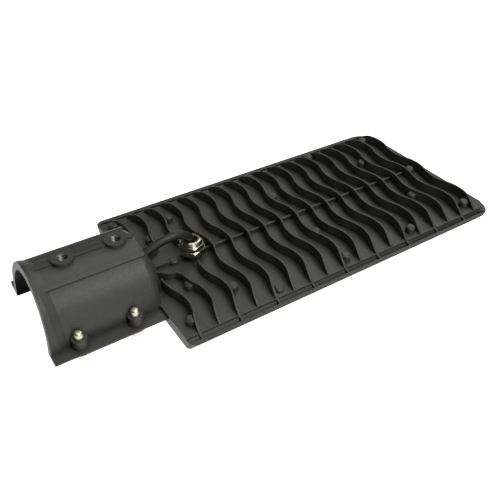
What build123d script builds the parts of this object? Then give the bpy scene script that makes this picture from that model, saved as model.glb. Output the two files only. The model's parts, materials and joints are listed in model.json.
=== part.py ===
"""Street light head: one die-cast aluminium heat sink with an arched pole collar,
a clamp strap under the collar, a cable gland with its lead, and the sealed
light unit with its driver on the underside.

Millimetres.  The origin is the centre of the pole mouth: X runs from the pole
into the head, Y across it, Z up.  The top of the finned floor is Z = 0.
"""
from build123d import *

import os
from math import cos, pi, radians, sin, sqrt, tan

os.makedirs("parts", exist_ok=True)

# Pole and collar
pole_diameter = 64.0        # largest arm that enters
pole_clearance = 0.5        # on the radius, between pole and collar
collar_wall = 3.7
socket_depth = 70.0         # pole mouth to the stop shoulder
stop_shoulder = 3.0         # radial height of the shoulder that the pole meets
end_wall = 4.5              # thickness of the conical end of the collar
cone_apex = 92.6            # X of the cone's apex on the axis
cone_slope = 0.42           # X that the cone falls back per millimetre of radius
collar_edge = 3.0           # rounding between the collar's back and its cone
mouth_bevel = 1.2
mouth_band = 6.0            # thicker band at the mouth, then a taper down to the collar
mouth_taper = 6.0
mouth_band_height = 2.1
mouth_slant = 5.0           # degrees that the mouth leans back at the crown
crown_rib_width = 3.0
crown_rib_height = 1.4
crown_rib_start = 6.0
crown_rib_angle = 28.3      # degrees from the crown to each side rib

# Set-screw bosses on the crown
set_boss_x = (28.4, 64.8)
set_boss_diameter = 15.0
set_boss_top = 39.0
set_thread = 8.0            # metric thread of the pole's set screws

# Flanges beside the collar, and the clamp strap's screws
flange_width = 94.0
flange_top = -2.5
flange_thickness = 2.5
flange_edge = 0.8           # thickness left at the flanges' long edges
flange_bevel = 2.4          # width over which the underside comes up to that edge
clamp_screw_x = (19.2, 57.5)
clamp_screw_y = 39.3
clamp_boss_diameter = 10.4
clamp_boss_height = 7.5
clamp_thread = 6.0
clamp_tip = 4.9             # how far each screw stands out of its boss
clamp_dome = 1.7            # height of the rounded end of each screw
clamp_head_diameter = 9.6
clamp_head_height = 4.8
strap_width = 88.2
strap_thickness = 2.0
strap_start = 14.4
strap_end = 62.3
strap_bead = 1.2            # depth of the two stiffening beads

# Heat sink plate
head_length = 359.0         # pole mouth to the far short edge
plate_start = 77.0
plate_width = 160.5
plate_depth = 9.0
rim_drop = 1.35             # the rim lies this far under the floor
rim_width = 3.8
slot_width = 3.75           # blind slot between floor and rim
slot_shallow = 1.2          # its depth at the floor, under the floor's level
slot_deep = 4.8             # its depth at the rim
slot_start = 79.2
slot_end = 344.5
slot_run_out = 8.0          # length of the slot's pointed far end
plate_undercut = 6.2        # how far the side walls lean in over the plate's depth
end_undercut = 1.5          # the same at the far end; the pole end is upright
near_corner = 6.0           # corner radius at the pole end
far_corner = 17.0
bridge_thickness = 1.7      # ribs across the slots, under every second fin

# Wavy fins
fin_count = 18
fin_pitch = 15.09
fin_start = 86.7
fin_wave = 4.9              # swing of a fin from trough to crest
fin_waves = 3
fin_height = 8.1
fin_thickness = 1.9
fin_draft = 2.0             # degrees
fin_ramp = 12.0             # length over which a fin's end comes down
fin_root = 1.0              # how far a fin's foot reaches into the floor

# Fins stop short of the gland, and one turns back to the collar
fin_stops = (17.6, 20.0, 13.6)
stop_height = 6.2           # height of a fin where it stops
stop_ramp = 9.5             # length over which it comes back to full height
turn_points = ((102.0, 20.8), (100.0, 15.8), (94.8, 15.0), (87.6, 8.4))
turn_radius = 4.0
turn_height = 6.0

# Centre rib and blind bosses
centre_rib_height = 3.3
centre_rib_thickness = 1.8
vent_boss_x = 105.8
cover_boss_spots = ((86.3, 62.1), (213.4, 64.9), (277.9, 65.2), (340.1, 62.6))
low_boss_spots = ((153.4, 65.6),)
driver_boss_spots = ((102.0, 31.1), (126.4, 48.75))
board_boss_spots = ((213.4, 29.3), (312.4, 31.5))
end_boss_x = 340.1
boss_radius = 3.6
boss_height = 5.6
low_boss_height = 2.6
boss_bevel = 1.1
floor_skin = 3.5            # metal left between the floor and the pocket below it

# Gland and lead
gland_x = 121.4
lead_diameter = 6.3
gland_thread = 10.0
gland_fit = 0.15            # radial clearance of round parts in their holes
gland_ring_diameter = 12.8
gland_ring_height = 5.6
gland_across_flats = 18.8
gland_hex_height = 3.8
gland_neck_height = 0.6     # bare neck between hexagon and cap
cap_across_flats = 16.4
cap_hex_height = 2.6
cap_top_diameter = 13.6
cap_height = 5.8
cap_mouth = 9.0
sleeve_wall = 1.75          # rubber round the lead inside the cap
sleeve_height = 4.2
stem_rise = 2.2             # threaded stem inside the cap
stem_wall = 1.0
lock_nut_across_flats = 14.0
lock_nut_height = 2.6
gland_tail = 3.0            # thread that stands out under the lock nut

# Pocket, cover and seals on the underside
pocket_start = 90.0
pocket_end = 333.0
pocket_width = 112.0
pocket_corner = 9.0
cover_margin = 2.5          # cover set in from the underside of the plate
cover_thickness = 2.5
cover_bevel = 1.0
seal_width = 2.4
seal_land = 2.2             # metal between pocket and seal groove
seal_groove = 1.6
bulge_start = 93.0
bulge_end = 142.0
bulge_width = 112.0
bulge_depth = 10.0
bulge_taper = 14.0
window_start = 150.0
window_end = 326.0
window_width = 102.0
window_corner = 6.0
cover_thread = 4.0
cover_head_diameter = 7.4
cover_head_height = 2.6
cover_grip = 9.5            # thread of a cover screw in the casting

# Lens plate, board and light sources
lens_overlap = 2.6          # lens flange beyond the window on each side
lens_flange = 1.8
lens_gap = 0.3
lens_face = 10.4            # depth of the lens face under the floor
lens_rows = 4
lens_columns = 7
lens_pitch_x = 25.5
lens_pitch_y = 25.0
lens_radius = 9.0
lens_height = 4.6
pad_thickness = 0.4
board_thickness = 1.6
chip_size = 5.0
chip_height = 0.8
board_thread = 3.0
board_head_diameter = 5.6
board_head_height = 1.7
board_grip = 5.5            # thread of a board screw in the casting
board_tab = 4.0             # end of the board that carries its two wires

# Driver
driver_length = 39.0
driver_width = 104.0
driver_drop = 4.0           # gap between pocket ceiling and driver board
driver_start = 97.0
driver_opening = 20.0       # hole in the driver board round the gland
standoff_radius = 3.4

# Values that follow from the ones above
pole_radius = pole_diameter / 2
bore_radius = pole_radius + pole_clearance
collar_radius = bore_radius + collar_wall
chamber_radius = bore_radius - stop_shoulder
band_radius = collar_radius + mouth_band_height
flange_bottom = flange_top - flange_thickness
plate_end = head_length
half_width = plate_width / 2
floor_half = half_width - rim_width - slot_width
slot_outer = half_width - rim_width
rim_top = -rim_drop
under = -plate_depth
ceiling = -floor_skin
plate_middle = (plate_start + plate_end) / 2
fin_half = floor_half
lead_radius = lead_diameter / 2


def plate_outline(x_from, x_to, half, near_radius, far_radius):
    """Closed outline of the plate with small pole-end and large far-end corners."""
    with BuildSketch(Plane.XY) as outline:
        with BuildLine():
            Polyline((x_from, -half), (x_to, -half), (x_to, half), (x_from, half), close=True)
        make_face()
        fillet(outline.vertices().group_by(Axis.X)[0], radius=near_radius)
        fillet(outline.vertices().group_by(Axis.X)[-1], radius=far_radius)
    return outline.sketch


def rounded_box(x_from, x_to, width, radius):
    """Rounded rectangle between two X values, centred on Y = 0."""
    with BuildSketch(Plane.XY) as shape:
        with Locations(((x_from + x_to) / 2, 0)):
            RectangleRounded(x_to - x_from, width, radius)
    return shape.sketch


def fin_edge(shift):
    """One long edge of a fin: tangent arcs, crest and trough in turn."""
    quarter = fin_half / (2 * fin_waves)
    swing = fin_wave / 2
    radius = (quarter ** 2 + swing ** 2) / (2 * swing)
    y = -fin_half + quarter
    bow = Vector(shift + radius - sqrt(radius ** 2 - (quarter / 2) ** 2), -fin_half + quarter / 2)
    ThreePointArc((shift, -fin_half), bow, (shift + swing, y))
    for turn in range(2 * fin_waves - 1):
        side = swing if turn % 2 == 0 else -swing
        start = Vector(shift + swing, y)
        crest = Vector(shift + swing + side, y + quarter)
        end = Vector(shift + swing, y + 2 * quarter)
        ThreePointArc(start, crest, end)
        y += 2 * quarter
    bow = Vector(bow.X, fin_half - quarter / 2)
    ThreePointArc((shift + swing, y), bow, (shift, fin_half))


def blind_boss(height):
    """A cast boss with a bevelled top, its foot a little inside the floor."""
    with BuildPart() as boss:
        with BuildSketch(Plane.XZ):
            with BuildLine():
                Polyline(
                    (0, -fin_root), (boss_radius, -fin_root), (boss_radius, height - boss_bevel),
                    (boss_radius - boss_bevel, height), (0, height), close=True,
                )
            make_face()
        revolve(axis=Axis.Z)
    return boss.part


def both_sides(spots):
    """Each spot and its mirror image across the centre line."""
    return [(x, side * y) for x, y in spots for side in (-1, 1)]


def screw(thread, shank, head_diameter, head_height, socket, dome=0.0):
    """A screw with its seat on Z = 0, shank up and head down, with a hexagon socket."""
    rounded = [
        (thread * 0.5, shank - dome), (thread * 0.42, shank - dome * 0.4), (thread * 0.27, shank),
    ] if dome else [(thread * 0.5, shank)]
    with BuildPart() as piece:
        with BuildSketch(Plane.XZ):
            with BuildLine():
                Polyline(
                    (0, -head_height),
                    (head_diameter / 2, -head_height),
                    (head_diameter / 2, 0),
                    (thread / 2, 0),
                    *rounded,
                    (0, shank),
                    close=True,
                )
            make_face()
        revolve(axis=Axis.Z)
        with BuildSketch(Plane.XY.offset(-head_height)):
            RegularPolygon(socket / sqrt(3), 6)
        extrude(amount=head_height * 0.55, mode=Mode.SUBTRACT)
    return piece.part


# Route of the lead: up through the gland, over, and down through the collar's end wall
lead_start = (gland_x, 0, ceiling - 8.0)
lead_points = (
    (gland_x, 0, 15.5),
    (117.0, 0, 21.0),
    (110.0, 0, 23.6),
    (101.5, 0, 23.4),
    (92.0, 0, 21.2),
    (79.5, 0, 16.2),
)
lead_stop = (76.0, 0, 11.6)
lead_hole_gap = 0.4
lead_hole_run = 20.0
thread_gap = 0.1            # between a thread's crest and its tapped hole
hole_way = Vector(*lead_points[5]) - Vector(*lead_points[4])
lead_hole_plane = Plane(origin=lead_points[4], x_dir=(0, 1, 0), z_dir=hole_way.normalized())

# Outline of the seal on the underside
with BuildSketch(Plane.XY) as seal_plan:
    grow = seal_land + seal_width
    add(rounded_box(pocket_start - grow, pocket_end + grow, pocket_width + 2 * grow, pocket_corner + grow))
    grow = seal_land
    add(rounded_box(
        pocket_start - grow, pocket_end + grow, pocket_width + 2 * grow, pocket_corner + grow,
    ), mode=Mode.SUBTRACT)
seal_ring = seal_plan.sketch


# Places of the screws that come up into the casting from below
cover_screw_spots = both_sides(cover_boss_spots + low_boss_spots) + [(end_boss_x, 0)]
board_screw_spots = both_sides(board_boss_spots)
driver_screw_spots = both_sides(driver_boss_spots)

# One wavy fin's plan, then the bank of fins with their ends brought down
with BuildSketch(Plane.XY) as fin_plan:
    with BuildLine():
        fin_edge(fin_thickness / 2)
        fin_edge(-fin_thickness / 2)
        for end in (-fin_half, fin_half):
            Line((-fin_thickness / 2, end), (fin_thickness / 2, end))
    make_face()

with BuildPart() as fin_bank:
    with BuildSketch(Plane.XY.offset(-fin_root)):
        with Locations([(fin_start + k * fin_pitch, 0) for k in range(fin_count)]):
            add(fin_plan.sketch)
    extrude(amount=fin_height + fin_root, taper=fin_draft)
    with BuildSketch(Plane.YZ):
        with BuildLine():
            for side in (-1, 1):
                foot = (side * fin_half, 0)
                bend = (side * (fin_half - fin_ramp * 0.45), fin_height * 0.62)
                top = (side * (fin_half - fin_ramp), fin_height)
                ThreePointArc(foot, bend, top)
                Line(foot, (side * fin_half, -fin_root))
            Line((fin_ramp - fin_half, fin_height), (fin_half - fin_ramp, fin_height))
            Line((-fin_half, -fin_root), (fin_half, -fin_root))
        make_face()
    extrude(amount=head_length, mode=Mode.INTERSECT)
    # Clear the floor round the gland: each of the first fins stops at its own place
    for k, stop in enumerate(fin_stops):
        with BuildSketch(Plane.XY.offset(-fin_root)):
            with Locations((fin_start + k * fin_pitch + fin_wave / 2, 0)):
                Rectangle(fin_pitch - 0.5, 2 * stop)
        extrude(amount=fin_height + fin_root, mode=Mode.SUBTRACT)
        middle = fin_start + k * fin_pitch + fin_wave / 2
        with BuildSketch(Plane.YZ.offset(middle - fin_pitch / 2 + 0.25)):
            for side in (-1, 1):
                with BuildLine():
                    Polyline(
                        (side * (stop - 1), stop_height), (side * stop, stop_height),
                        (side * (stop + stop_ramp), fin_height), (side * (stop + stop_ramp), fin_height + 1),
                        (side * (stop - 1), fin_height + 1), close=True,
                    )
                make_face()
        extrude(amount=fin_pitch - 0.5, mode=Mode.SUBTRACT)

# Blind slots: their bottoms fall away from the floor towards the rim
with BuildPart() as slots:
    with BuildSketch(Plane.XY.offset(-slot_deep)):
        for side in (-1, 1):
            with BuildLine():
                Polyline(
                    (slot_start, side * floor_half),
                    (slot_end, side * floor_half),
                    (slot_end + slot_run_out, side * slot_outer),
                    (slot_start + slot_width, side * slot_outer),
                )
                ThreePointArc(
                    (slot_start + slot_width, side * slot_outer),
                    (slot_start + slot_width * 0.3, side * (slot_outer - slot_width * 0.3)),
                    (slot_start, side * floor_half),
                )
            make_face()
    extrude(amount=slot_deep)
    with BuildSketch(Plane.YZ.offset(slot_start - 1)):
        for side in (-1, 1):
            with BuildLine():
                Polyline(
                    (side * floor_half, -slot_shallow), (side * floor_half, 1),
                    (side * slot_outer, 1), (side * slot_outer, -slot_deep), close=True,
                )
            make_face()
    extrude(amount=slot_end + slot_run_out - slot_start + 2, mode=Mode.INTERSECT)

# The heat sink with its collar: one casting
with BuildPart() as housing:
    # Plate: rim level on top, drawn in towards the underside
    with BuildSketch(Plane.XY.offset(rim_top)):
        add(plate_outline(plate_start, plate_end, half_width, near_corner, far_corner))
    with BuildSketch(Plane.XY.offset(under)):
        add(plate_outline(
            plate_start, plate_end - end_undercut,
            half_width - plate_undercut, near_corner / 2, far_corner - plate_undercut,
        ))
    loft(ruled=True)
    # Finned floor, a little above the rim
    with BuildSketch(Plane.XY.offset(rim_top)):
        add(plate_outline(
            plate_start, plate_end - 1.1, floor_half, 1.0, far_corner - rim_width - slot_width,
        ))
    extrude(amount=rim_drop)
    add(slots.part, mode=Mode.SUBTRACT)
    # Bridging ribs across the slots, from the floor down to the rim
    with BuildSketch(Plane.YZ.offset(fin_start - bridge_thickness / 2)):
        with BuildLine():
            Polyline(
                (floor_half - 1, 0),
                (floor_half, 0),
                (slot_outer + 0.5, rim_top),
                (slot_outer + 0.5, -slot_deep),
                (floor_half - 1, -slot_deep),
                close=True,
            )
        make_face()
        mirror(about=Plane.YZ)
    one_bridge = extrude(amount=bridge_thickness, mode=Mode.PRIVATE)
    for k in range(0, fin_count, 2):
        add(one_bridge.moved(Location((k * fin_pitch, 0, 0))))

    # Collar: a turned form about the pole's axis, cut off under the flanges
    with BuildSketch(Plane.XZ):
        with BuildLine():
            back = cone_apex - cone_slope * collar_radius
            Polyline(
                (0, 0), (0, band_radius - mouth_bevel), (mouth_bevel, band_radius),
                (mouth_band, band_radius), (mouth_band + mouth_taper, collar_radius),
                (back - collar_edge, collar_radius),
            )
            ThreePointArc(
                (back - collar_edge, collar_radius),
                (back + collar_edge * (0.1 - cone_slope / 3), collar_radius - collar_edge * 0.4),
                (back + collar_edge * cone_slope, collar_radius - collar_edge),
            )
            Polyline(
                (back + collar_edge * cone_slope, collar_radius - collar_edge), (cone_apex, 0), (0, 0),
            )
        make_face()
    revolve(axis=Axis.X)
    with BuildSketch(Plane.XY.offset(flange_bottom)):
        with Locations((plate_start / 2, 0)):
            Rectangle(plate_start, 2 * band_radius)
    extrude(amount=-band_radius, mode=Mode.SUBTRACT)
    with BuildSketch(Plane.XY.offset(under)):
        with Locations((cone_apex / 2, 0)):
            Rectangle(cone_apex, 2 * collar_radius)
    extrude(amount=-collar_radius, mode=Mode.SUBTRACT)
    # Flanges either side of the collar, thinned from below towards their edges
    with BuildSketch(Plane.YZ):
        with BuildLine():
            edge = flange_width / 2
            Polyline(
                (0, flange_top), (edge, flange_top), (edge, flange_top - flange_edge),
                (edge - flange_bevel, flange_bottom), (0, flange_bottom), close=True,
            )
        make_face()
        mirror(about=Plane.YZ)
    extrude(amount=plate_start + 2)
    # Screw bosses on the flanges, closed ribs and set-screw bosses on the collar
    with BuildSketch(Plane.XY.offset(flange_bottom)):
        with Locations([(x, side * clamp_screw_y) for x in clamp_screw_x for side in (-1, 1)]):
            Circle(clamp_boss_diameter / 2)
    extrude(amount=flange_thickness + clamp_boss_height, taper=1)
    with BuildSketch(Plane.XY.offset(bore_radius - 2)):
        with Locations([(x, 0) for x in set_boss_x]):
            Circle(set_boss_diameter / 2)
    extrude(amount=set_boss_top - bore_radius + 2)
    with BuildSketch(Plane.YZ.offset(crown_rib_start)):
        for turn in (-crown_rib_angle, 0, crown_rib_angle):
            with Locations(Location((0, 0), 90 + turn)):
                with Locations((collar_radius + crown_rib_height / 2 - 1, 0)):
                    Rectangle(crown_rib_height + 2, crown_rib_width)
    extrude(amount=back - crown_rib_start - 0.5)
    # Fins, centre rib and blind bosses on the floor
    add(fin_bank.part)
    for side in (-1, 1):
        with BuildSketch(Plane.XY.offset(-fin_root)):
            with BuildLine():
                FilletPolyline(*[(x, side * y) for x, y in turn_points], radius=turn_radius)
                offset(amount=fin_thickness / 2)
            make_face()
        extrude(amount=turn_height + fin_root)

    with BuildSketch(Plane.XY.offset(-fin_root)):
        rib_from = cone_apex - 2
        rib_to = fin_start + (fin_count - 2) * fin_pitch + fin_wave
        with Locations(((rib_from + rib_to) / 2, 0)):
            Rectangle(rib_to - rib_from, centre_rib_thickness)
    extrude(amount=centre_rib_height + fin_root)
    with Locations(both_sides(cover_boss_spots + driver_boss_spots + board_boss_spots)):
        add(blind_boss(boss_height))
    with Locations(both_sides(low_boss_spots)):
        add(blind_boss(low_boss_height))
    with Locations((end_boss_x, 0)):
        add(blind_boss(boss_height))
    with Locations((vent_boss_x, 0)):
        add(blind_boss(centre_rib_height + 0.5))
    # Flat seat for the gland, clear of fins and rib
    with BuildSketch(Plane.XY):
        with Locations((gland_x, 0)):
            Circle(gland_ring_diameter / 2 + 1.2)
    extrude(amount=fin_height + 1, mode=Mode.SUBTRACT)
    # Pole socket and the lead's chamber behind the stop shoulder
    with BuildSketch(Plane.YZ.offset(-1)):
        Circle(bore_radius)
    extrude(amount=socket_depth + 1, mode=Mode.SUBTRACT)
    with BuildSketch(Plane.XY):
        with BuildLine():
            inner_apex = cone_apex - end_wall
            Polyline(
                (socket_depth - 1, 0),
                (inner_apex, 0),
                (inner_apex - cone_slope * chamber_radius, chamber_radius),
                (socket_depth - 1, chamber_radius),
                close=True,
            )
        make_face()
    revolve(axis=Axis.X, revolution_arc=180, mode=Mode.SUBTRACT)
    # The mouth leans back towards the crown, with a small lead-in inside
    with BuildSketch(Plane.XZ):
        with BuildLine():
            lean = (band_radius + 5) * tan(radians(mouth_slant))
            Polyline(
                (-2, flange_bottom), (0, flange_bottom), (lean, band_radius + 5 + flange_bottom),
                (-2, band_radius + 5 + flange_bottom), close=True,
            )
        make_face()
    extrude(amount=flange_width, both=True, mode=Mode.SUBTRACT)
    # Slanted hole for the lead through the conical wall
    with BuildSketch(lead_hole_plane):
        Circle(lead_radius + lead_hole_gap)
    extrude(amount=lead_hole_run, mode=Mode.SUBTRACT)
    # Screw holes: clamp screws right through, set screws into the socket, gland into the pocket
    with BuildSketch(Plane.XY.offset(flange_bottom)):
        with Locations([(x, side * clamp_screw_y) for x in clamp_screw_x for side in (-1, 1)]):
            Circle(clamp_thread / 2 + thread_gap)
    extrude(amount=flange_thickness + clamp_boss_height, mode=Mode.SUBTRACT)
    with BuildSketch(Plane.XY.offset(set_boss_top)):
        with Locations([(x, 0) for x in set_boss_x]):
            Circle(set_thread / 2)
    extrude(amount=-(set_boss_top - bore_radius + 3), mode=Mode.SUBTRACT)
    with BuildSketch(Plane.XY.offset(ceiling)):
        with Locations((gland_x, 0)):
            Circle(gland_thread / 2 + thread_gap)
    extrude(amount=floor_skin, mode=Mode.SUBTRACT)
    # Pocket on the underside and the groove for the seal round it
    with BuildSketch(Plane.XY.offset(under)):
        add(rounded_box(pocket_start, pocket_end, pocket_width, pocket_corner))
    extrude(amount=plate_depth - floor_skin, mode=Mode.SUBTRACT)
    with BuildSketch(Plane.XY.offset(under)):
        add(seal_ring)
    extrude(amount=seal_groove, mode=Mode.SUBTRACT)
    # Standoffs for the driver board, and the blind holes of all screws from below
    with BuildSketch(Plane.XY.offset(ceiling)):
        with Locations(driver_screw_spots):
            Circle(standoff_radius)
    extrude(amount=-driver_drop)
    for spots, thread, start, depth in (
        (cover_screw_spots, cover_thread, under, cover_grip + 1),
        (board_screw_spots, board_thread, ceiling, board_grip + 1),
        (driver_screw_spots, board_thread, ceiling - driver_drop, driver_drop + board_grip),
    ):
        with BuildSketch(Plane.XY.offset(start)):
            with Locations(spots):
                Circle(thread / 2 + thread_gap)
        extrude(amount=depth, mode=Mode.SUBTRACT)

# Clamp strap: a pressed half round under the collar with two ears
with BuildPart() as clamp_strap:
    with BuildSketch(Plane.YZ.offset(strap_start)):
        Circle(bore_radius + strap_thickness)
        with Locations((0, flange_bottom + bore_radius)):
            Rectangle(4 * bore_radius, 2 * bore_radius, mode=Mode.SUBTRACT)
        with Locations((0, flange_bottom - strap_thickness / 2)):
            Rectangle(strap_width, strap_thickness)
        Circle(bore_radius, mode=Mode.SUBTRACT)
    extrude(amount=strap_end - strap_start)
    ears = clamp_strap.edges().filter_by(Axis.Z).filter_by(lambda e: abs(e.center().Y) > strap_width / 2 - 2)
    fillet(ears, radius=5)
    # Two stiffening beads pressed outward round the half round
    for x in ((2 * strap_start + strap_end) / 3, (strap_start + 2 * strap_end) / 3):
        with BuildSketch(Plane.YZ.offset(x - 2)):
            Circle(bore_radius + strap_thickness + strap_bead)
            Circle(bore_radius + strap_thickness - 0.1, mode=Mode.SUBTRACT)
            with Locations((0, bore_radius - 12)):
                Rectangle(4 * bore_radius, 2 * bore_radius, mode=Mode.SUBTRACT)
        extrude(amount=4)
    with BuildSketch(Plane.XY.offset(flange_bottom)):
        with Locations(both_sides([(x, clamp_screw_y) for x in clamp_screw_x])):
            Circle(clamp_thread / 2 + 0.3)
    extrude(amount=-strap_thickness, mode=Mode.SUBTRACT)

# Clamp screws, from below through the ears, with their tips out of the bosses
clamp_seat = flange_bottom - strap_thickness
clamp_shank = strap_thickness + flange_thickness + clamp_boss_height + clamp_tip
one_clamp_screw = screw(clamp_thread, clamp_shank, clamp_head_diameter, clamp_head_height, 4.0, clamp_dome)
with BuildPart() as clamp_screws:
    with Locations([(x, y, clamp_seat) for x, y in both_sides([(x, clamp_screw_y) for x in clamp_screw_x])]):
        add(one_clamp_screw)

# Gland: rubber ring under a hexagon body, cap nut over a rubber sleeve, lock nut inside
ring_top = gland_ring_height
hex_top = ring_top + gland_hex_height
neck_top = hex_top + gland_neck_height
cap_top = neck_top + cap_height
nut_bottom = ceiling - lock_nut_height
with BuildPart() as gland_ring:
    with BuildSketch(Plane.XY):
        with Locations((gland_x, 0)):
            Circle(gland_ring_diameter / 2)
            Circle(gland_thread / 2 + gland_fit, mode=Mode.SUBTRACT)
    extrude(amount=gland_ring_height)
    chamfer(gland_ring.edges().filter_by(GeomType.CIRCLE).group_by(SortBy.RADIUS)[-1], length=0.6)

thread_bore = lead_radius + gland_fit
stem_top = neck_top + stem_rise
sleeve_radius = lead_radius + sleeve_wall
stem_bore = sleeve_radius + gland_fit
stem_radius = stem_bore + stem_wall
with BuildPart() as gland_body:
    with BuildSketch(Plane.XY.offset(ring_top)):
        with Locations((gland_x, 0)):
            RegularPolygon(gland_across_flats / sqrt(3), 6, rotation=15)
    extrude(amount=gland_hex_height)
    with BuildSketch(Plane.XZ):
        with BuildLine():
            r = gland_across_flats / sqrt(3)
            Polyline(
                (gland_x, ring_top), (gland_x + r * 0.90, ring_top), (gland_x + r + 0.4, ring_top + 1.2),
                (gland_x + r + 0.4, hex_top - 1.5), (gland_x + r * 0.86, hex_top), (gland_x, hex_top),
                close=True,
            )
        make_face()
    revolve(axis=Axis((gland_x, 0, 0), (0, 0, 1)), mode=Mode.INTERSECT)
    with BuildSketch(Plane.XY.offset(nut_bottom - gland_tail)):
        with Locations((gland_x, 0)):
            Circle(gland_thread / 2)
    extrude(amount=ring_top - nut_bottom + gland_tail)
    with BuildSketch(Plane.XY.offset(hex_top)):
        with Locations((gland_x, 0)):
            Circle(stem_radius)
    extrude(amount=gland_neck_height + stem_rise)
    with BuildSketch(Plane.XY.offset(nut_bottom - gland_tail)):
        with Locations((gland_x, 0)):
            Circle(thread_bore)
    extrude(amount=60, mode=Mode.SUBTRACT)
    with BuildSketch(Plane.XY.offset(stem_top)):
        with Locations((gland_x, 0)):
            Circle(stem_bore)
    extrude(amount=-sleeve_height, mode=Mode.SUBTRACT)

with BuildPart() as gland_sleeve:
    with BuildSketch(Plane.XY.offset(stem_top)):
        with Locations((gland_x, 0)):
            Circle(sleeve_radius)
            Circle(lead_radius, mode=Mode.SUBTRACT)
    extrude(amount=-sleeve_height)

with BuildPart() as gland_cap:
    with BuildSketch(Plane.XY.offset(neck_top)):
        with Locations((gland_x, 0)):
            RegularPolygon(cap_across_flats / sqrt(3), 6, rotation=15)
    extrude(amount=cap_hex_height)
    with BuildSketch(Plane.XZ):
        with BuildLine():
            r = cap_across_flats / sqrt(3)
            Polyline(
                (gland_x, neck_top), (gland_x + r * 0.93, neck_top), (gland_x + r + 0.3, neck_top + 0.9),
                (gland_x + r + 0.3, neck_top + cap_hex_height - 1.4),
                (gland_x + r * 0.88, neck_top + cap_hex_height), (gland_x, neck_top + cap_hex_height),
                close=True,
            )
        make_face()
    revolve(axis=Axis((gland_x, 0, 0), (0, 0, 1)), mode=Mode.INTERSECT)
    with BuildSketch(Plane.XZ):
        with BuildLine():
            base = gland_x + cap_across_flats / 2 - 0.4
            lip = gland_x + cap_top_diameter / 2
            shoulder = neck_top + cap_hex_height
            roll = 1.1
            Polyline(
                (gland_x, shoulder), (base, shoulder), (lip + 0.4, cap_top - 1.6 * roll),
                (lip, cap_top - 0.4 * roll), (lip - roll, cap_top), (gland_x, cap_top), close=True,
            )
        make_face()
    revolve(axis=Axis((gland_x, 0, 0), (0, 0, 1)))
    with BuildSketch(Plane.XY.offset(neck_top)):
        with Locations((gland_x, 0)):
            Circle(stem_radius + gland_fit)
    extrude(amount=stem_rise, mode=Mode.SUBTRACT)
    with BuildSketch(Plane.XY.offset(neck_top)):
        with Locations((gland_x, 0)):
            Circle(cap_mouth / 2)
    extrude(amount=cap_height + 1, mode=Mode.SUBTRACT)

with BuildPart() as gland_lock_nut:
    with BuildSketch(Plane.XY.offset(nut_bottom)):
        with Locations((gland_x, 0)):
            RegularPolygon(lock_nut_across_flats / sqrt(3), 6)
            Circle(gland_thread / 2 + thread_gap, mode=Mode.SUBTRACT)
    extrude(amount=lock_nut_height)

# Lead: straight runs joined by tangent arcs, as large as the runs allow
route = [Vector(*p) for p in (lead_start, *lead_points, lead_stop)]


def corner_radii(points):
    """Arc radius at each inner point: 0.45 of the shorter run over the tangent of half the turn."""
    radii = []
    for before, here, after in zip(points, points[1:], points[2:]):
        turn = (here - before).get_angle(after - here)
        run = min((here - before).length, (after - here).length)
        radii.append(0.45 * run / tan(radians(turn / 2)))
    return radii


lead_radii = corner_radii(route)
print("lead radii", [round(r, 1) for r in lead_radii])
with BuildPart() as supply_lead:
    with BuildLine() as lead_line:
        FilletPolyline(*route, radius=lead_radii)
    with BuildSketch(Plane(origin=route[0], z_dir=(0, 0, 1))):
        Circle(lead_radius)
    sweep(path=lead_line.line)
lead_length = sum(edge.length for edge in lead_line.edges())
lead_section = pi * lead_radius ** 2
print("lead length", round(lead_length, 1))
print("lead volume over section times length", round(supply_lead.part.volume / (lead_section * lead_length), 4))

# Cores: bare stubs at the pole end, and three to the terminal block inside
core_diameter = 1.9
core_ring = 1.35
core_stub = 4.0
stub_way = (route[-1] - route[-2]).normalized()
stub_plane = Plane(origin=route[-1], x_dir=(0, 1, 0), z_dir=stub_way)
with BuildPart() as pole_cores:
    with BuildSketch(stub_plane):
        with PolarLocations(core_ring, 3):
            Circle(core_diameter / 2)
    extrude(amount=core_stub)

# Cover over the underside, with a bulge for the driver and a window for the lens
cover_top = under
cover_bottom = under - cover_thickness
cover_from = plate_start + cover_margin
cover_to = plate_end - end_undercut - cover_margin
cover_half = half_width - plate_undercut - cover_margin
with BuildPart() as cover:
    with BuildSketch(Plane.XY.offset(cover_bottom)):
        add(plate_outline(cover_from, cover_to, cover_half, near_corner / 2, far_corner - plate_undercut))
    extrude(amount=cover_thickness)
    chamfer(cover.faces().sort_by(Axis.Z)[0].edges(), length=cover_bevel)
    with BuildSketch(Plane.XY.offset(cover_bottom + 0.5)):
        add(rounded_box(bulge_start, bulge_end, bulge_width, pocket_corner))
    extrude(amount=-(bulge_depth + 0.5), taper=bulge_taper)
    with BuildSketch(Plane.XY.offset(cover_top)):
        add(rounded_box(
            bulge_start + cover_thickness, bulge_end - cover_thickness,
            bulge_width - 2 * cover_thickness, pocket_corner - cover_thickness,
        ))
    extrude(amount=-bulge_depth, taper=bulge_taper, mode=Mode.SUBTRACT)
    with BuildSketch(Plane.XY.offset(cover_bottom)):
        add(rounded_box(window_start, window_end, window_width, window_corner))
    extrude(amount=cover_thickness, mode=Mode.SUBTRACT)
    with BuildSketch(Plane.XY.offset(cover_bottom)):
        with Locations(cover_screw_spots):
            Circle(cover_thread / 2 + 0.25)
    extrude(amount=cover_thickness, mode=Mode.SUBTRACT)

with BuildPart() as cover_seal:
    with BuildSketch(Plane.XY.offset(under)):
        add(seal_ring)
    extrude(amount=seal_groove)

one_cover_screw = screw(cover_thread, cover_thickness + cover_grip, cover_head_diameter, cover_head_height, 2.5)
with BuildPart() as cover_screws:
    with Locations([(x, y, cover_bottom) for x, y in cover_screw_spots]):
        add(one_cover_screw)

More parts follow.
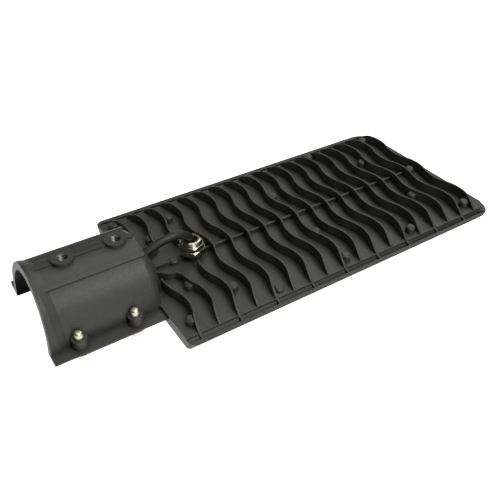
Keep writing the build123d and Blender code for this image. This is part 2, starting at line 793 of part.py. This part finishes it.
# Pad, board and light sources against the pocket's ceiling
board_from = window_start - lens_overlap
board_to = window_end + lens_overlap
board_half = window_width / 2 + lens_overlap
pad_bottom = ceiling - pad_thickness
board_bottom = pad_bottom - board_thickness
chip_bottom = board_bottom - chip_height
light_middle = (window_start + window_end) / 2
with BuildPart() as thermal_pad:
    with BuildSketch(Plane.XY.offset(pad_bottom)):
        add(rounded_box(board_from + 1, board_to - 1, 2 * board_half - 2, 2))
        with Locations(board_screw_spots):
            Circle(board_thread / 2 + 0.6, mode=Mode.SUBTRACT)
    extrude(amount=pad_thickness)
with BuildPart() as light_board:
    with BuildSketch(Plane.XY.offset(board_bottom)):
        add(rounded_box(board_from - board_tab, board_to, 2 * board_half, 2))
        with Locations(board_screw_spots):
            Circle(board_thread / 2 + 0.2, mode=Mode.SUBTRACT)
    extrude(amount=board_thickness)
with BuildPart() as light_chips:
    with BuildSketch(Plane.XY.offset(chip_bottom)):
        with Locations((light_middle, 0)):
            with GridLocations(lens_pitch_x, lens_pitch_y, lens_columns, lens_rows):
                Rectangle(chip_size, chip_size)
    extrude(amount=chip_height)

board_shank = board_thickness + pad_thickness + board_grip
one_board_screw = screw(board_thread, board_shank, board_head_diameter, board_head_height, 2.0)
with BuildPart() as board_screws:
    with Locations([(x, y, board_bottom) for x, y in board_screw_spots]):
        add(one_board_screw)

# Lens plate: a flange held by the cover, and one lens over each light source
lens_top = chip_bottom - lens_gap
flange_low = lens_top - lens_flange
with BuildPart() as lens_plate:
    with BuildSketch(Plane.XY.offset(flange_low)):
        add(rounded_box(board_from, board_to, 2 * board_half, window_corner))
    extrude(amount=lens_flange)
    with BuildSketch(Plane.XY.offset(-lens_face)):
        add(rounded_box(window_start + 0.4, window_end - 0.4, window_width - 0.8, window_corner))
    extrude(amount=lens_face + flange_low)
    with BuildSketch(Plane.XZ.offset(0)):
        with BuildLine():
            Polyline(
                (0, -lens_height), (lens_radius * 0.5, -lens_height), (lens_radius, 0), (lens_radius, 0.5),
                (0, 0.5), close=True,
            )
        make_face()
    one_lens = revolve(axis=Axis.Z, mode=Mode.PRIVATE)
    with Locations((light_middle, 0, -lens_face)):
        with GridLocations(lens_pitch_x, lens_pitch_y, lens_columns, lens_rows):
            add(one_lens)
    with BuildSketch(Plane.XY.offset(lens_top)):
        with Locations(board_screw_spots):
            Circle(board_head_diameter / 2 + 0.4)
    extrude(amount=-(board_head_height - chip_height - lens_gap + 0.4), mode=Mode.SUBTRACT)

lens_seal_height = flange_low - cover_top
with BuildPart() as lens_seal:
    with BuildSketch(Plane.XY.offset(cover_top)):
        add(rounded_box(board_from, board_to, 2 * board_half, window_corner))
        add(rounded_box(
            window_start, window_end, window_width, window_corner,
        ), mode=Mode.SUBTRACT)
    extrude(amount=lens_seal_height)

# Driver board on its standoffs, with its parts hanging into the cover's bulge
driver_top = ceiling - driver_drop
driver_bottom = driver_top - board_thickness
driver_end = driver_start + driver_length
with BuildPart() as driver_board:
    with BuildSketch(Plane.XY.offset(driver_bottom)):
        add(rounded_box(driver_start, driver_end, driver_width, 2))
        with Locations((gland_x, 0)):
            Circle(driver_opening / 2, mode=Mode.SUBTRACT)
        with Locations(driver_screw_spots):
            Circle(board_thread / 2 + 0.2, mode=Mode.SUBTRACT)
    extrude(amount=board_thickness)
driver_shank = board_thickness + driver_drop + board_grip - 1
one_driver_screw = screw(board_thread, driver_shank, board_head_diameter, board_head_height, 2.0)
with BuildPart() as driver_screws:
    with Locations([(x, y, driver_bottom) for x, y in driver_screw_spots]):
        add(one_driver_screw)

transformer_spot = (113.0, 25.0)
transformer_core = (15.0, 13.0, 8.0)
transformer_winding = 5.0
capacitor_spots = ((127.0, 30.0), (127.0, 20.0))
capacitor_radius = 4.0
capacitor_height = 7.5
rectifier_spot = (106.0, -40.0)
rectifier_size = (8.0, 6.5, 2.5)
fuse_spot = (104.0, -12.0)
fuse_radius = 2.6
fuse_length = 8.0
varistor_spot = (113.0, -24.0)
varistor_radius = 4.5
varistor_thickness = 4.0
terminal_spot = (128.5, -26.0)
terminal_size = (8.0, 16.0, 8.0)
with BuildPart() as transformer:
    with BuildSketch(Plane.XY.offset(driver_bottom)):
        with Locations(transformer_spot):
            Rectangle(*transformer_core[:2])
    extrude(amount=-transformer_core[2])
    windows = transformer_core[2] - 3.2
    with BuildSketch(Plane.XZ.offset(-transformer_spot[1] - transformer_core[1])):
        with Locations((transformer_spot[0], driver_bottom - transformer_core[2] / 2)):
            Rectangle(transformer_core[0] - 3.2, windows)
    extrude(amount=2 * transformer_core[1], mode=Mode.SUBTRACT)
    with BuildSketch(Plane.XY.offset(driver_bottom - 1.6)):
        with Locations(transformer_spot):
            RectangleRounded(transformer_core[0] - 3.2, transformer_core[1] + 3, transformer_winding / 2)
    extrude(amount=-windows)
with BuildPart() as capacitors:
    with BuildSketch(Plane.XY.offset(driver_bottom)):
        with Locations(capacitor_spots):
            Circle(capacitor_radius)
    extrude(amount=-capacitor_height)
with BuildPart() as rectifier:
    with BuildSketch(Plane.XY.offset(driver_bottom)):
        with Locations(rectifier_spot):
            Rectangle(*rectifier_size[:2])
    extrude(amount=-rectifier_size[2])
    chamfer(rectifier.faces().sort_by(Axis.Z)[0].edges(), length=0.5)
with BuildPart() as fuse:
    with BuildSketch(Plane.XY.offset(driver_bottom)):
        with Locations(fuse_spot):
            Circle(fuse_radius)
    extrude(amount=-fuse_length)
with BuildPart() as varistor:
    with BuildSketch(Plane.XZ.offset(-varistor_spot[1] - varistor_thickness / 2)):
        with Locations((varistor_spot[0], driver_bottom - varistor_radius)):
            Circle(varistor_radius)
    extrude(amount=varistor_thickness)
with BuildPart() as terminal_block:
    with BuildSketch(Plane.XY.offset(driver_bottom)):
        with Locations(terminal_spot):
            Rectangle(*terminal_size[:2])
    extrude(amount=-terminal_size[2])
    ways = [(terminal_spot[0], terminal_spot[1] + step * terminal_size[1] / 3) for step in (-1, 0, 1)]
    with BuildSketch(Plane.XY.offset(driver_bottom - terminal_size[2])):
        with Locations(ways):
            Circle(1.6)
    extrude(amount=1.2, mode=Mode.SUBTRACT)
    with BuildSketch(Plane.YZ.offset(terminal_spot[0] - terminal_size[0] / 2)):
        with Locations([(y, driver_bottom - terminal_size[2] + 3.4) for x, y in ways]):
            Rectangle(3.2, 2.8)
    extrude(amount=3.5, mode=Mode.SUBTRACT)

pieces = {
    "housing": housing, "clamp_strap": clamp_strap, "clamp_screws": clamp_screws,
    "gland_ring": gland_ring, "gland_body": gland_body, "gland_sleeve": gland_sleeve,
    "gland_cap": gland_cap, "gland_lock_nut": gland_lock_nut, "supply_lead": supply_lead,
    "pole_cores": pole_cores, "cover": cover, "cover_seal": cover_seal, "cover_screws": cover_screws,
    "thermal_pad": thermal_pad, "light_board": light_board, "light_chips": light_chips,
    "board_screws": board_screws, "lens_plate": lens_plate, "lens_seal": lens_seal,
    "driver_board": driver_board, "driver_screws": driver_screws, "transformer": transformer,
    "capacitors": capacitors, "rectifier": rectifier, "fuse": fuse, "varistor": varistor,
    "terminal_block": terminal_block,
}
for name, piece in pieces.items():
    piece.part.label = name
    export_step(piece.part, f"parts/{name}.step")
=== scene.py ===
import json
from math import cos, pi, radians, sin, sqrt

import bmesh
import bpy
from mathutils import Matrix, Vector


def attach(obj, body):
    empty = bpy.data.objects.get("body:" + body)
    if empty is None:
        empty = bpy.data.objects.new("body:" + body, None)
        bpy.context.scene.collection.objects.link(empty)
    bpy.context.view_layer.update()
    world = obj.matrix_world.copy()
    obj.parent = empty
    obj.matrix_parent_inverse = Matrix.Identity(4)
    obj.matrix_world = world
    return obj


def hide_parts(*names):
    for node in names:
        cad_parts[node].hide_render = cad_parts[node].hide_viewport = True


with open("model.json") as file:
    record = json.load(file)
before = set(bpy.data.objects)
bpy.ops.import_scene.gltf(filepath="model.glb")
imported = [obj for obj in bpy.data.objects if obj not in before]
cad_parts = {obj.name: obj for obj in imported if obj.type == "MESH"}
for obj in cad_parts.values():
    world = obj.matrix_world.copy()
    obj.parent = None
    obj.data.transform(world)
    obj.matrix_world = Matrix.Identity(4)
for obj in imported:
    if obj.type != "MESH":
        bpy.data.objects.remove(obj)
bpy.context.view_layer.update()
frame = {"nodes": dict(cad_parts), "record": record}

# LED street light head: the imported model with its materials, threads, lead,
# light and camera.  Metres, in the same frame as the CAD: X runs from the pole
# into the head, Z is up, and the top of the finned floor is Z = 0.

nodes = frame["nodes"]
scene = bpy.context.scene
scene.view_settings.view_transform = "Standard"
MM = 0.001

# Camera, as fitted to the photograph
CAMERA_PLACE = (-0.04275, -0.32993, 0.29130)
CAMERA_YAW = 33.08
CAMERA_PITCH = 37.99
CAMERA_ROLL = 0.13
CAMERA_LENS = 45.5
CAMERA_SENSOR = 36.0

# Sizes repeated from the CAD source, in millimetres
SET_BOSS_X = (28.4, 64.8)
SET_BOSS_TOP = 39.0
SET_THREAD = 8.0
SET_PITCH = 1.25
BORE_RADIUS = 32.5
BORE_END = 76.0
CLAMP_SCREW_X = (19.2, 57.5)
CLAMP_SCREW_Y = 39.3
CLAMP_SEAT = -7.0
CLAMP_SHANK = 16.9
CLAMP_THREAD = 6.0
CLAMP_DOME = 1.7
CLAMP_HEAD = (9.6, 4.8)
CLAMP_SOCKET = 4.0
GLAND_X = 121.4
LEAD_DIAMETER = 6.3
SLOT_ACROSS = (72.6, 76.55)
SLOT_SPAN = (79.0, 352.6)
SLOT_DEEP = 4.8
RIM_TOP = -1.35
PLATE_DEPTH = 9.0
CORNER_CENTRE = (342.0, 63.25)
CORNER_RADIUS = 17.0
CORNER_SHIFT = 4.7          # how far the corner's centre moves over the plate's depth
CORNER_LEAN = 6.2           # how much its radius shrinks over that depth
PIN_MARK_X = (95.6, 140.6, 172.1, 203.6, 231.4, 261.4, 291.4)
PIN_MARK_Y = -69.7


# Materials
class Finish:
    """A material's node tree, with short calls that add and join nodes."""

    def __init__(self, name, color, roughness, metallic=0.0, **sockets):
        self.material = bpy.data.materials.new(name)
        self.material.use_nodes = True
        self.tree = self.material.node_tree
        self.shader = self.tree.nodes["Principled BSDF"]
        self.shader.inputs["Base Color"].default_value = (*color, 1.0)
        self.shader.inputs["Roughness"].default_value = roughness
        self.shader.inputs["Metallic"].default_value = metallic
        for socket, value in sockets.items():
            self.shader.inputs[socket.replace("_", " ")].default_value = value
        self.place = self.add("ShaderNodeTexCoord").outputs["Object"]
        self.normal = None

    def add(self, kind, settings=None, **inputs):
        """A new node with its settings and with its inputs set or joined."""
        node = self.tree.nodes.new(kind)
        for key, value in (settings or {}).items():
            setattr(node, key, value)
        for key, value in inputs.items():
            self.join(value, node.inputs[key.replace("_", " ")])
        return node

    def join(self, value, socket):
        if isinstance(value, bpy.types.NodeSocket):
            self.tree.links.new(value, socket)
        else:
            socket.default_value = value

    def maths(self, operation, first, second=0.0, third=0.0):
        node = self.add("ShaderNodeMath", {"operation": operation})
        for value, socket in zip((first, second, third), node.inputs):
            self.join(value, socket)
        return node.outputs["Value"]

    def noise(self, grain, detail=2.0, rough=0.5):
        """Noise whose features are about grain metres across, from 0 to 1."""
        node = self.add(
            "ShaderNodeTexNoise", Vector=self.place, Scale=1.0 / grain, Detail=detail, Roughness=rough,
        )
        return node.outputs["Fac"]

    def spread(self, value, low, high):
        """A value from 0 to 1 laid over low to high."""
        node = self.add("ShaderNodeMapRange", Value=value, To_Min=low, To_Max=high)
        node.inputs["From Min"].default_value = 0.25
        node.inputs["From Max"].default_value = 0.75
        return node.outputs["Result"]

    def mix(self, factor, first, second):
        """Two colours mixed by a factor."""
        node = self.add("ShaderNodeMix", {"data_type": "RGBA"})
        self.join(factor, node.inputs["Factor"])
        for value, socket in ((first, node.inputs[6]), (second, node.inputs[7])):
            self.join((*value, 1.0) if isinstance(value, tuple) else value, socket)
        return node.outputs[2]

    def bump(self, height, depth, strength=1.0):
        """Adds a bump of that depth in metres on top of the ones before it."""
        node = self.add("ShaderNodeBump", Height=height, Distance=depth, Strength=strength)
        if self.normal is not None:
            self.join(self.normal, node.inputs["Normal"])
        self.normal = node.outputs["Normal"]
        self.join(self.normal, self.shader.inputs["Normal"])

    def round_edges(self, radius):
        """Soft light-catching edges, as paint or a plated edge has."""
        self.normal = self.add("ShaderNodeBevel", {"samples": 6}, Radius=radius).outputs["Normal"]
        self.join(self.normal, self.shader.inputs["Normal"])

    def edge_mask(self, radius):
        """1 on edges that stand out or in within that radius, 0 elsewhere."""
        worn = self.add("ShaderNodeBevel", {"samples": 6}, Radius=radius).outputs["Normal"]
        flat = self.add("ShaderNodeNewGeometry").outputs["Normal"]
        node = self.add("ShaderNodeVectorMath", {"operation": "DOT_PRODUCT"})
        self.join(worn, node.inputs[0])
        self.join(flat, node.inputs[1])
        return self.add(
            "ShaderNodeMapRange", Value=node.outputs["Value"],
            From_Min=0.995, From_Max=0.80, To_Min=0.0, To_Max=1.0,
        ).outputs["Result"]

    def color(self, value):
        self.join(value, self.shader.inputs["Base Color"])

    def roughness(self, value):
        self.join(value, self.shader.inputs["Roughness"])


def slot_shade_mask(coat, spot):
    """Painted shade in the rim's slots: 0 outside them, growing to 1 at their bottoms."""
    across = coat.maths("ABSOLUTE", spot["Y"])
    limits = (
        ("GREATER_THAN", across, SLOT_ACROSS[0]), ("LESS_THAN", across, SLOT_ACROSS[1]),
        ("GREATER_THAN", spot["X"], SLOT_SPAN[0]), ("LESS_THAN", spot["X"], SLOT_SPAN[1]),
        ("GREATER_THAN", spot["Z"], -SLOT_DEEP - 0.1),
    )
    inside = 1.0
    for operation, value, limit in limits:
        inside = coat.maths("MULTIPLY", inside, coat.maths(operation, value, limit * MM))
    depth = coat.add(
        "ShaderNodeMapRange", Value=spot["Z"],
        From_Min=-0.4 * MM, From_Max=-3.0 * MM, To_Min=0.0, To_Max=1.0,
    ).outputs["Result"]
    return coat.maths("MULTIPLY", inside, depth)


def bore_shade_mask(coat, spot):
    """Painted shade inside the collar: 1 on its inside, 0 elsewhere."""
    squares = [coat.maths("MULTIPLY", spot[axis], spot[axis]) for axis in ("Y", "Z")]
    reach = (BORE_RADIUS + 0.4) * MM
    bore = coat.maths("LESS_THAN", coat.maths("ADD", *squares), reach ** 2)
    return coat.maths("MULTIPLY", bore, coat.maths("LESS_THAN", spot["X"], BORE_END * MM))


def powder_coat(name, base, light, casting=False):
    """Dark powder coat: fine orange-peel grain, faint clouds, edges lightened as painted highlight and
    rubbed wear, painted shade in hollows.

    On the casting, painted shade makes the rim's slots and the collar's bore darker still.
    """
    gloss = 0.32
    coat = Finish(name, base, 0.45, Specular_IOR_Level=gloss)
    coat.round_edges(0.45 * MM)
    clouds = coat.spread(coat.noise(38 * MM, 3.0), 0.0, 1.0)
    speckle = coat.spread(coat.noise(0.9 * MM, 2.0, 0.7), 0.0, 1.0)
    tone = coat.mix(clouds, tuple(0.93 * c for c in base), tuple(1.07 * c for c in base))
    tone = coat.mix(coat.maths("MULTIPLY", speckle, 0.38), tone, light)
    # Painted highlight and rubbed wear: the coat's colour is lighter along its edges.
    tone = coat.mix(coat.maths("MULTIPLY", coat.edge_mask(0.5 * MM), 0.35), tone, light)
    # Painted shade: the coat's colour darkens in hollows and creases, following its ambient occlusion.
    hollow = coat.add("ShaderNodeAmbientOcclusion", {"samples": 8}, Distance=9 * MM).outputs["AO"]
    shade = coat.spread(hollow, 0.30, 1.0)
    tone = coat.mix(shade, tuple(0.25 * c for c in base), tone)
    if casting:
        spot = coat.add("ShaderNodeSeparateXYZ", Vector=coat.place).outputs
        # Painted shade: the rim's slots and the collar's bore are darkened nearly to black.
        painted_shade_tone = tuple(0.12 * c for c in base)
        tone = coat.mix(slot_shade_mask(coat, spot), tone, painted_shade_tone)
        # Painted shade in the bore: darker colour there, and less specular reflection.
        bore = bore_shade_mask(coat, spot)
        tone = coat.mix(bore, tone, painted_shade_tone)
        coat.join(coat.maths("MULTIPLY_ADD", bore, -0.28, gloss), coat.shader.inputs["Specular IOR Level"])
    coat.color(tone)
    coat.roughness(coat.spread(coat.noise(1.4 * MM, 2.0), 0.40, 0.52))
    coat.bump(coat.noise(0.75 * MM, 2.0, 0.6), 0.07 * MM, 0.75)
    coat.bump(coat.noise(9 * MM, 2.0), 0.12 * MM, 0.25)
    return coat.material


def bright_metal(name, base, dull, rough, turned=0.0):
    """Plated or plain metal with faint tool marks and dull patches."""
    metal = Finish(name, base, rough, 1.0)
    metal.round_edges(0.18 * MM)
    patches = metal.spread(metal.noise(3.5 * MM, 4.0, 0.6), 0.0, 1.0)
    metal.color(metal.mix(patches, base, dull))
    metal.roughness(metal.spread(metal.noise(1.6 * MM, 3.0), rough * 0.75, rough * 1.5))
    if turned:
        rings = metal.add(
            "ShaderNodeTexWave", {"wave_type": "BANDS", "bands_direction": "Z"},
            Vector=metal.place, Scale=0.5 / turned, Distortion=0.6, Detail=1.0,
        ).outputs["Fac"]
        metal.bump(rings, 0.006 * MM, 0.4)
    metal.bump(metal.noise(0.5 * MM, 2.0), 0.004 * MM, 0.4)
    return metal.material


def soft_black(name, base, rough, grain=0.6):
    """Rubber or cable sheath: satin black with a fine moulded skin."""
    rubber = Finish(name, base, rough, Specular_IOR_Level=0.4)
    rubber.round_edges(0.3 * MM)
    dust = rubber.spread(rubber.noise(6 * MM, 3.0), 0.0, 1.0)
    rubber.color(rubber.mix(dust, base, tuple(1.8 * c + 0.004 for c in base)))
    rubber.roughness(rubber.spread(rubber.noise(2.2 * MM, 2.0), rough * 0.85, rough * 1.2))
    rubber.bump(rubber.noise(grain * MM, 2.0), 0.02 * MM, 0.35)
    return rubber.material


def moulding(name, base, other, rough, grain=3.0):
    """Small moulded or lacquered part with a little colour change over it."""
    shell = Finish(name, base, rough)
    shell.round_edges(0.15 * MM)
    shell.color(shell.mix(shell.spread(shell.noise(grain * MM, 3.0), 0.0, 1.0), base, other))
    shell.roughness(shell.spread(shell.noise(1.2 * MM, 2.0), rough * 0.8, rough * 1.25))
    shell.bump(shell.noise(0.4 * MM, 2.0), 0.008 * MM, 0.3)
    return shell.material


coat_base = (0.040, 0.040, 0.033)
coat_light = (0.090, 0.090, 0.077)
looks = {
    "casting": powder_coat("casting_coat", coat_base, coat_light, casting=True),
    "cover_plate": powder_coat("cover_coat", coat_base, coat_light),
    "strap_steel": powder_coat("strap_coat", coat_base, coat_light),
    "screw_steel": bright_metal("screw_steel", (0.68, 0.65, 0.56), (0.52, 0.49, 0.41), 0.36),
    "nickel_brass": bright_metal(
        "nickel_plate", (0.54, 0.50, 0.40), (0.38, 0.34, 0.26), 0.24, turned=0.35 * MM,
    ),
    "seal_rubber": soft_black("seal_rubber", (0.012, 0.012, 0.012), 0.55),
    "lead_sheath": soft_black("lead_sheath", (0.005, 0.0045, 0.004), 0.44, 0.9),
    "pad_silicone": moulding("pad_silicone", (0.42, 0.44, 0.46), (0.48, 0.5, 0.52), 0.7),
    "board_white": moulding("board_white", (0.80, 0.80, 0.77), (0.74, 0.74, 0.71), 0.35),
    "chip_phosphor": moulding("chip_phosphor", (0.88, 0.62, 0.08), (0.80, 0.54, 0.06), 0.4, 1.5),
    "board_green": moulding("board_green", (0.02, 0.14, 0.05), (0.03, 0.18, 0.06), 0.3),
    "tape_yellow": moulding("tape_yellow", (0.65, 0.45, 0.05), (0.55, 0.38, 0.04), 0.35),
    "can_black": moulding("can_sleeve", (0.02, 0.02, 0.035), (0.03, 0.03, 0.05), 0.25),
    "black_moulding": moulding("black_moulding", (0.015, 0.015, 0.015), (0.03, 0.03, 0.03), 0.45),
    "fuse_glass": moulding("fuse_shell", (0.35, 0.33, 0.28), (0.42, 0.4, 0.36), 0.2),
    "varistor_blue": moulding("varistor_lacquer", (0.03, 0.1, 0.42), (0.04, 0.13, 0.5), 0.3),
    "terminal_grey": moulding("terminal_shell", (0.42, 0.44, 0.44), (0.5, 0.52, 0.52), 0.4),
    "core_sleeve": moulding("core_sleeve", (0.30, 0.13, 0.04), (0.36, 0.16, 0.05), 0.4),
}

clear = Finish("lens_clear", (0.93, 0.95, 0.96), 0.04, Transmission_Weight=1.0, IOR=1.49)
clear.round_edges(0.2 * MM)
clear.bump(clear.noise(14 * MM, 2.0), 0.02 * MM, 0.15)
clear.roughness(clear.spread(clear.noise(5 * MM, 3.0), 0.03, 0.08))
looks["lens_clear"] = clear.material

slot_of = {part["node"]: part["material_slot"] for part in frame["record"]["subparts"]}
for name, obj in nodes.items():
    look = looks[slot_of[name]]
    if not obj.material_slots:
        obj.data.materials.append(look)
    for entry in obj.material_slots:
        entry.material = look


# Turned pieces and threads
def mesh_object(name, mesh_data, look):
    """A finished object from a bmesh; each caller then attaches it to the head's one body."""
    bmesh.ops.remove_doubles(mesh_data, verts=mesh_data.verts, dist=0.002 * MM)
    bmesh.ops.recalc_face_normals(mesh_data, faces=mesh_data.faces)
    data = bpy.data.meshes.new(name)
    mesh_data.to_mesh(data)
    mesh_data.free()
    data.shade_smooth()
    data.set_sharp_from_angle(angle=radians(32))
    obj = bpy.data.objects.new(name, data)
    scene.collection.objects.link(obj)
    data.materials.append(look)
    return obj


def helix_rows(radius, depth, pitch, low, high, around, chamfer):
    """Rows of points of a hole's threaded wall from low to high, crests on radius."""
    steps = 8
    rows = []
    count = int(round((high - low) / pitch * steps))
    for row in range(count + 1):
        z = low + (high - low) * row / count
        ring = []
        for turn in range(around):
            phase = (z / pitch - turn / around) % 1.0
            groove = min(1.0, max(0.0, 2.3 * abs(phase - 0.5) - 0.12))
            cut = depth * groove
            edge = max(0.0, chamfer - min(high - z, z - low + chamfer))
            r = radius + cut + edge
            angle = 2 * pi * turn / around
            ring.append((r * cos(angle), r * sin(angle), z))
        rows.append(ring)
    return rows


def skin(mesh_data, rows, place, close_ends):
    """Quads between rows of points, in millimetres about a place."""
    grid = [
        [mesh_data.verts.new([(p + q) * MM for p, q in zip(point, place)]) for point in row]
        for row in rows
    ]
    for below, above in zip(grid, grid[1:]):
        for k in range(len(below)):
            n = (k + 1) % len(below)
            mesh_data.faces.new((below[k], below[n], above[n], above[k]))
    if close_ends:
        for row in (grid[0], grid[-1]):
            mesh_data.faces.new(row)


def ring_row(radius, z, around):
    return [(radius * cos(2 * pi * k / around), radius * sin(2 * pi * k / around), z) for k in range(around)]


def socket_row(across, scale, z, turn, around):
    """A row of points on a hexagon socket's outline."""
    row = []
    for k in range(around):
        angle = 2 * pi * k / around
        side = (angle - radians(turn)) % (pi / 3) - pi / 6
        r = scale * across * cos(pi / 6) / cos(side)
        row.append((r * cos(angle), r * sin(angle), z))
    return row


def clamp_screw(mesh_data, thread, shank, dome, head, socket, place, turn, around=48):
    """One screw: shank up from its seat to a rounded end, and a head with a hexagon socket."""
    width, height = head
    across = socket / sqrt(3)
    rows = [
        socket_row(across, 0.05, -0.36 * height, turn, around),
        socket_row(across, 1.0, -0.45 * height, turn, around),
        socket_row(across, 1.0, 0.2 - height, turn, around),
        socket_row(across, 1.09, -height, turn, around),
    ]
    crown = [(0.40, -1.0), (0.45, -0.97), (0.485, -0.89), (0.5, -0.78), (0.5, -0.06), (0.48, 0.0)]
    rows += [ring_row(width * r, height * z, around) for r, z in crown]
    rows.append(ring_row(thread * 0.5, 0.0, around))
    for step in range(9):
        bend = radians(62.0 * step / 8)
        r = thread * (0.5 - 0.43 * (1 - cos(bend)))
        rows.append(ring_row(r, shank - dome + dome * sin(bend) / sin(radians(62.0)) * 0.94, around))
    rows.append(ring_row(thread * 0.22, shank, around))
    rows.append(ring_row(thread * 0.02, shank, around))
    skin(mesh_data, rows, place, True)


screws = bmesh.new()
for index, x in enumerate(CLAMP_SCREW_X):
    for side in (-1, 1):
        clamp_screw(
            screws, CLAMP_THREAD, CLAMP_SHANK, CLAMP_DOME, CLAMP_HEAD, CLAMP_SOCKET,
            (x, side * CLAMP_SCREW_Y, CLAMP_SEAT), 17.0 * index + 11.0 * side,
        )
clamp_screws = mesh_object("clamp_screws_turned", screws, looks["screw_steel"])
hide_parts("clamp_screws")
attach(clamp_screws, "root")

# Bright cut thread in the two set-screw holes, a thin shell against the hole's wall
hole_metal = bright_metal("cut_thread", (0.24, 0.23, 0.20), (0.13, 0.12, 0.10), 0.42)
hole_threads = bmesh.new()
for x in SET_BOSS_X:
    low, high = BORE_RADIUS + 0.6, SET_BOSS_TOP - 0.25
    depth = 0.54 * SET_PITCH
    outer = SET_THREAD / 2 - 0.02
    rows = helix_rows(outer - depth, depth * 0.94, SET_PITCH, low, high, 48, 0.5)
    skin(hole_threads, rows, (x, 0, 0), False)
    back = [rows[-1], ring_row(outer, high, 48), ring_row(outer, low, 48), rows[0]]
    skin(hole_threads, back, (x, 0, 0), False)
set_threads = mesh_object("set_hole_threads", hole_threads, hole_metal)
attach(set_threads, "root")

# Wall of the rim at the two far corners, where the solid's slot runs out through it
WALL_TOP = RIM_TOP - 0.03
WALL_LOW = -SLOT_DEEP - 0.5
WALL_SKIN = 0.03            # the wall's outside lies this far inside the plate's
WALL_INSIDE = 1.5
WALL_SECTION = (
    (WALL_TOP, WALL_SKIN), (WALL_LOW, WALL_SKIN), (WALL_LOW, WALL_INSIDE), (WALL_TOP, WALL_INSIDE),
)
corner_walls = bmesh.new()
for side in (-1, 1):
    wall = []
    for step in range(17):
        angle = radians(48 + 2 * step)
        section = []
        for z, inset in WALL_SECTION:
            down = (RIM_TOP - z) / (PLATE_DEPTH + RIM_TOP)
            r = CORNER_RADIUS - CORNER_LEAN * down - inset
            middle_x = CORNER_CENTRE[0] + CORNER_SHIFT * down
            section.append((middle_x + r * cos(angle), side * (CORNER_CENTRE[1] + r * sin(angle)), z))
        wall.append(section)
    skin(corner_walls, wall, (0, 0, 0), True)
corners = mesh_object("rim_corner_walls", corner_walls, looks["casting"])
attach(corners, "root")

# Faint rings that the mould's pins leave on the floor, beside the near rim
PIN_MARK_SECTION = ((2.55, -0.06), (2.66, 0.11), (2.84, 0.11), (2.95, -0.06), (2.55, -0.06))
pin_marks = bmesh.new()
for x in PIN_MARK_X:
    edge = [ring_row(r, z, 32) for r, z in PIN_MARK_SECTION]
    skin(pin_marks, edge, (x, PIN_MARK_Y, 0), False)
marks = mesh_object("pin_marks", pin_marks, looks["casting"])
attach(marks, "root")

# Lead
LEAD_ROUTE = (
    (GLAND_X, 0, -11.5), (GLAND_X, 0, 15.5), (117.0, 0, 21.0), (110.0, 0, 23.6),
    (101.5, 0, 23.4), (92.0, 0, 21.2), (79.5, 0, 16.2), (76.0, 0, 11.6),
)


def lead_curve(name, points, radius):
    """A smooth round cord whose spline has those points as its control points."""
    data = bpy.data.curves.new(name, "CURVE")
    data.dimensions = "3D"
    data.bevel_depth = radius * MM
    data.bevel_resolution = 8
    data.resolution_u = 16
    data.use_fill_caps = True
    spline = data.splines.new("NURBS")
    spline.points.add(len(points) - 1)
    for entry, point in zip(spline.points, points):
        entry.co = (*(value * MM for value in point), 1.0)
    spline.order_u = 3
    spline.use_endpoint_u = True
    obj = bpy.data.objects.new(name, data)
    scene.collection.objects.link(obj)
    return obj


lead = lead_curve("supply_lead_sheath", LEAD_ROUTE, LEAD_DIAMETER / 2)
lead.data.materials.append(looks["lead_sheath"])
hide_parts("supply_lead")
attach(lead, "root")

# Camera and stage
camera_data = bpy.data.cameras.new("camera")
camera_data.sensor_width = CAMERA_SENSOR
camera_data.lens = CAMERA_LENS
camera_data.clip_start = 0.01
camera = bpy.data.objects.new("camera", camera_data)
camera.location = CAMERA_PLACE
camera.rotation_euler = (radians(90 - CAMERA_PITCH), 0, radians(-CAMERA_YAW))
camera.rotation_euler.rotate_axis("Z", radians(CAMERA_ROLL))
scene.collection.objects.link(camera)
scene.camera = camera


def stage_plane(name, size, z, color):
    """The plain pale floor."""
    mesh_data = bmesh.new()
    bmesh.ops.create_grid(mesh_data, x_segments=1, y_segments=1, size=size / 2)
    data = bpy.data.meshes.new(name)
    mesh_data.to_mesh(data)
    mesh_data.free()
    obj = bpy.data.objects.new(name, data)
    obj.location = (0.18, 0, z)
    scene.collection.objects.link(obj)
    paper = Finish(name + "_paper", color, 0.9, Specular_IOR_Level=0.1)
    paper.shader.inputs["Emission Color"].default_value = (1.0, 1.0, 1.0, 1.0)
    paper.shader.inputs["Emission Strength"].default_value = 1.0
    data.materials.append(paper.material)
    return obj


floor = stage_plane("floor", 12.0, -0.30, (0.92, 0.92, 0.92))
floor.visible_diffuse = False       # it shows in the metal, but doesn't light the head


def softbox(name, place, target, size, power):
    """A square area light that looks at a target."""
    data = bpy.data.lights.new(name, "AREA")
    data.shape = "SQUARE"
    data.size = size
    data.energy = power
    obj = bpy.data.objects.new(name, data)
    obj.location = place
    way = Vector(target) - Vector(place)
    obj.rotation_euler = way.to_track_quat("-Z", "Y").to_euler()
    scene.collection.objects.link(obj)


middle = (0.18, 0.0, 0.0)
softbox("back_right", (1.5, 0.9, 1.7), middle, 1.4, 14.5)
softbox("top", (0.2, 0.3, 2.4), middle, 2.0, 22.0)
softbox("front_high", (0.62, -1.32, 1.7), middle, 1.0, 30.0)
softbox("front_low", (0.0, -2.0, 0.35), middle, 1.0, 8.0)

world = bpy.data.worlds.new("studio")
world.use_nodes = True
world.node_tree.nodes["Background"].inputs["Color"].default_value = (1.0, 1.0, 1.0, 1.0)
world.node_tree.nodes["Background"].inputs["Strength"].default_value = 0.02
scene.world = world
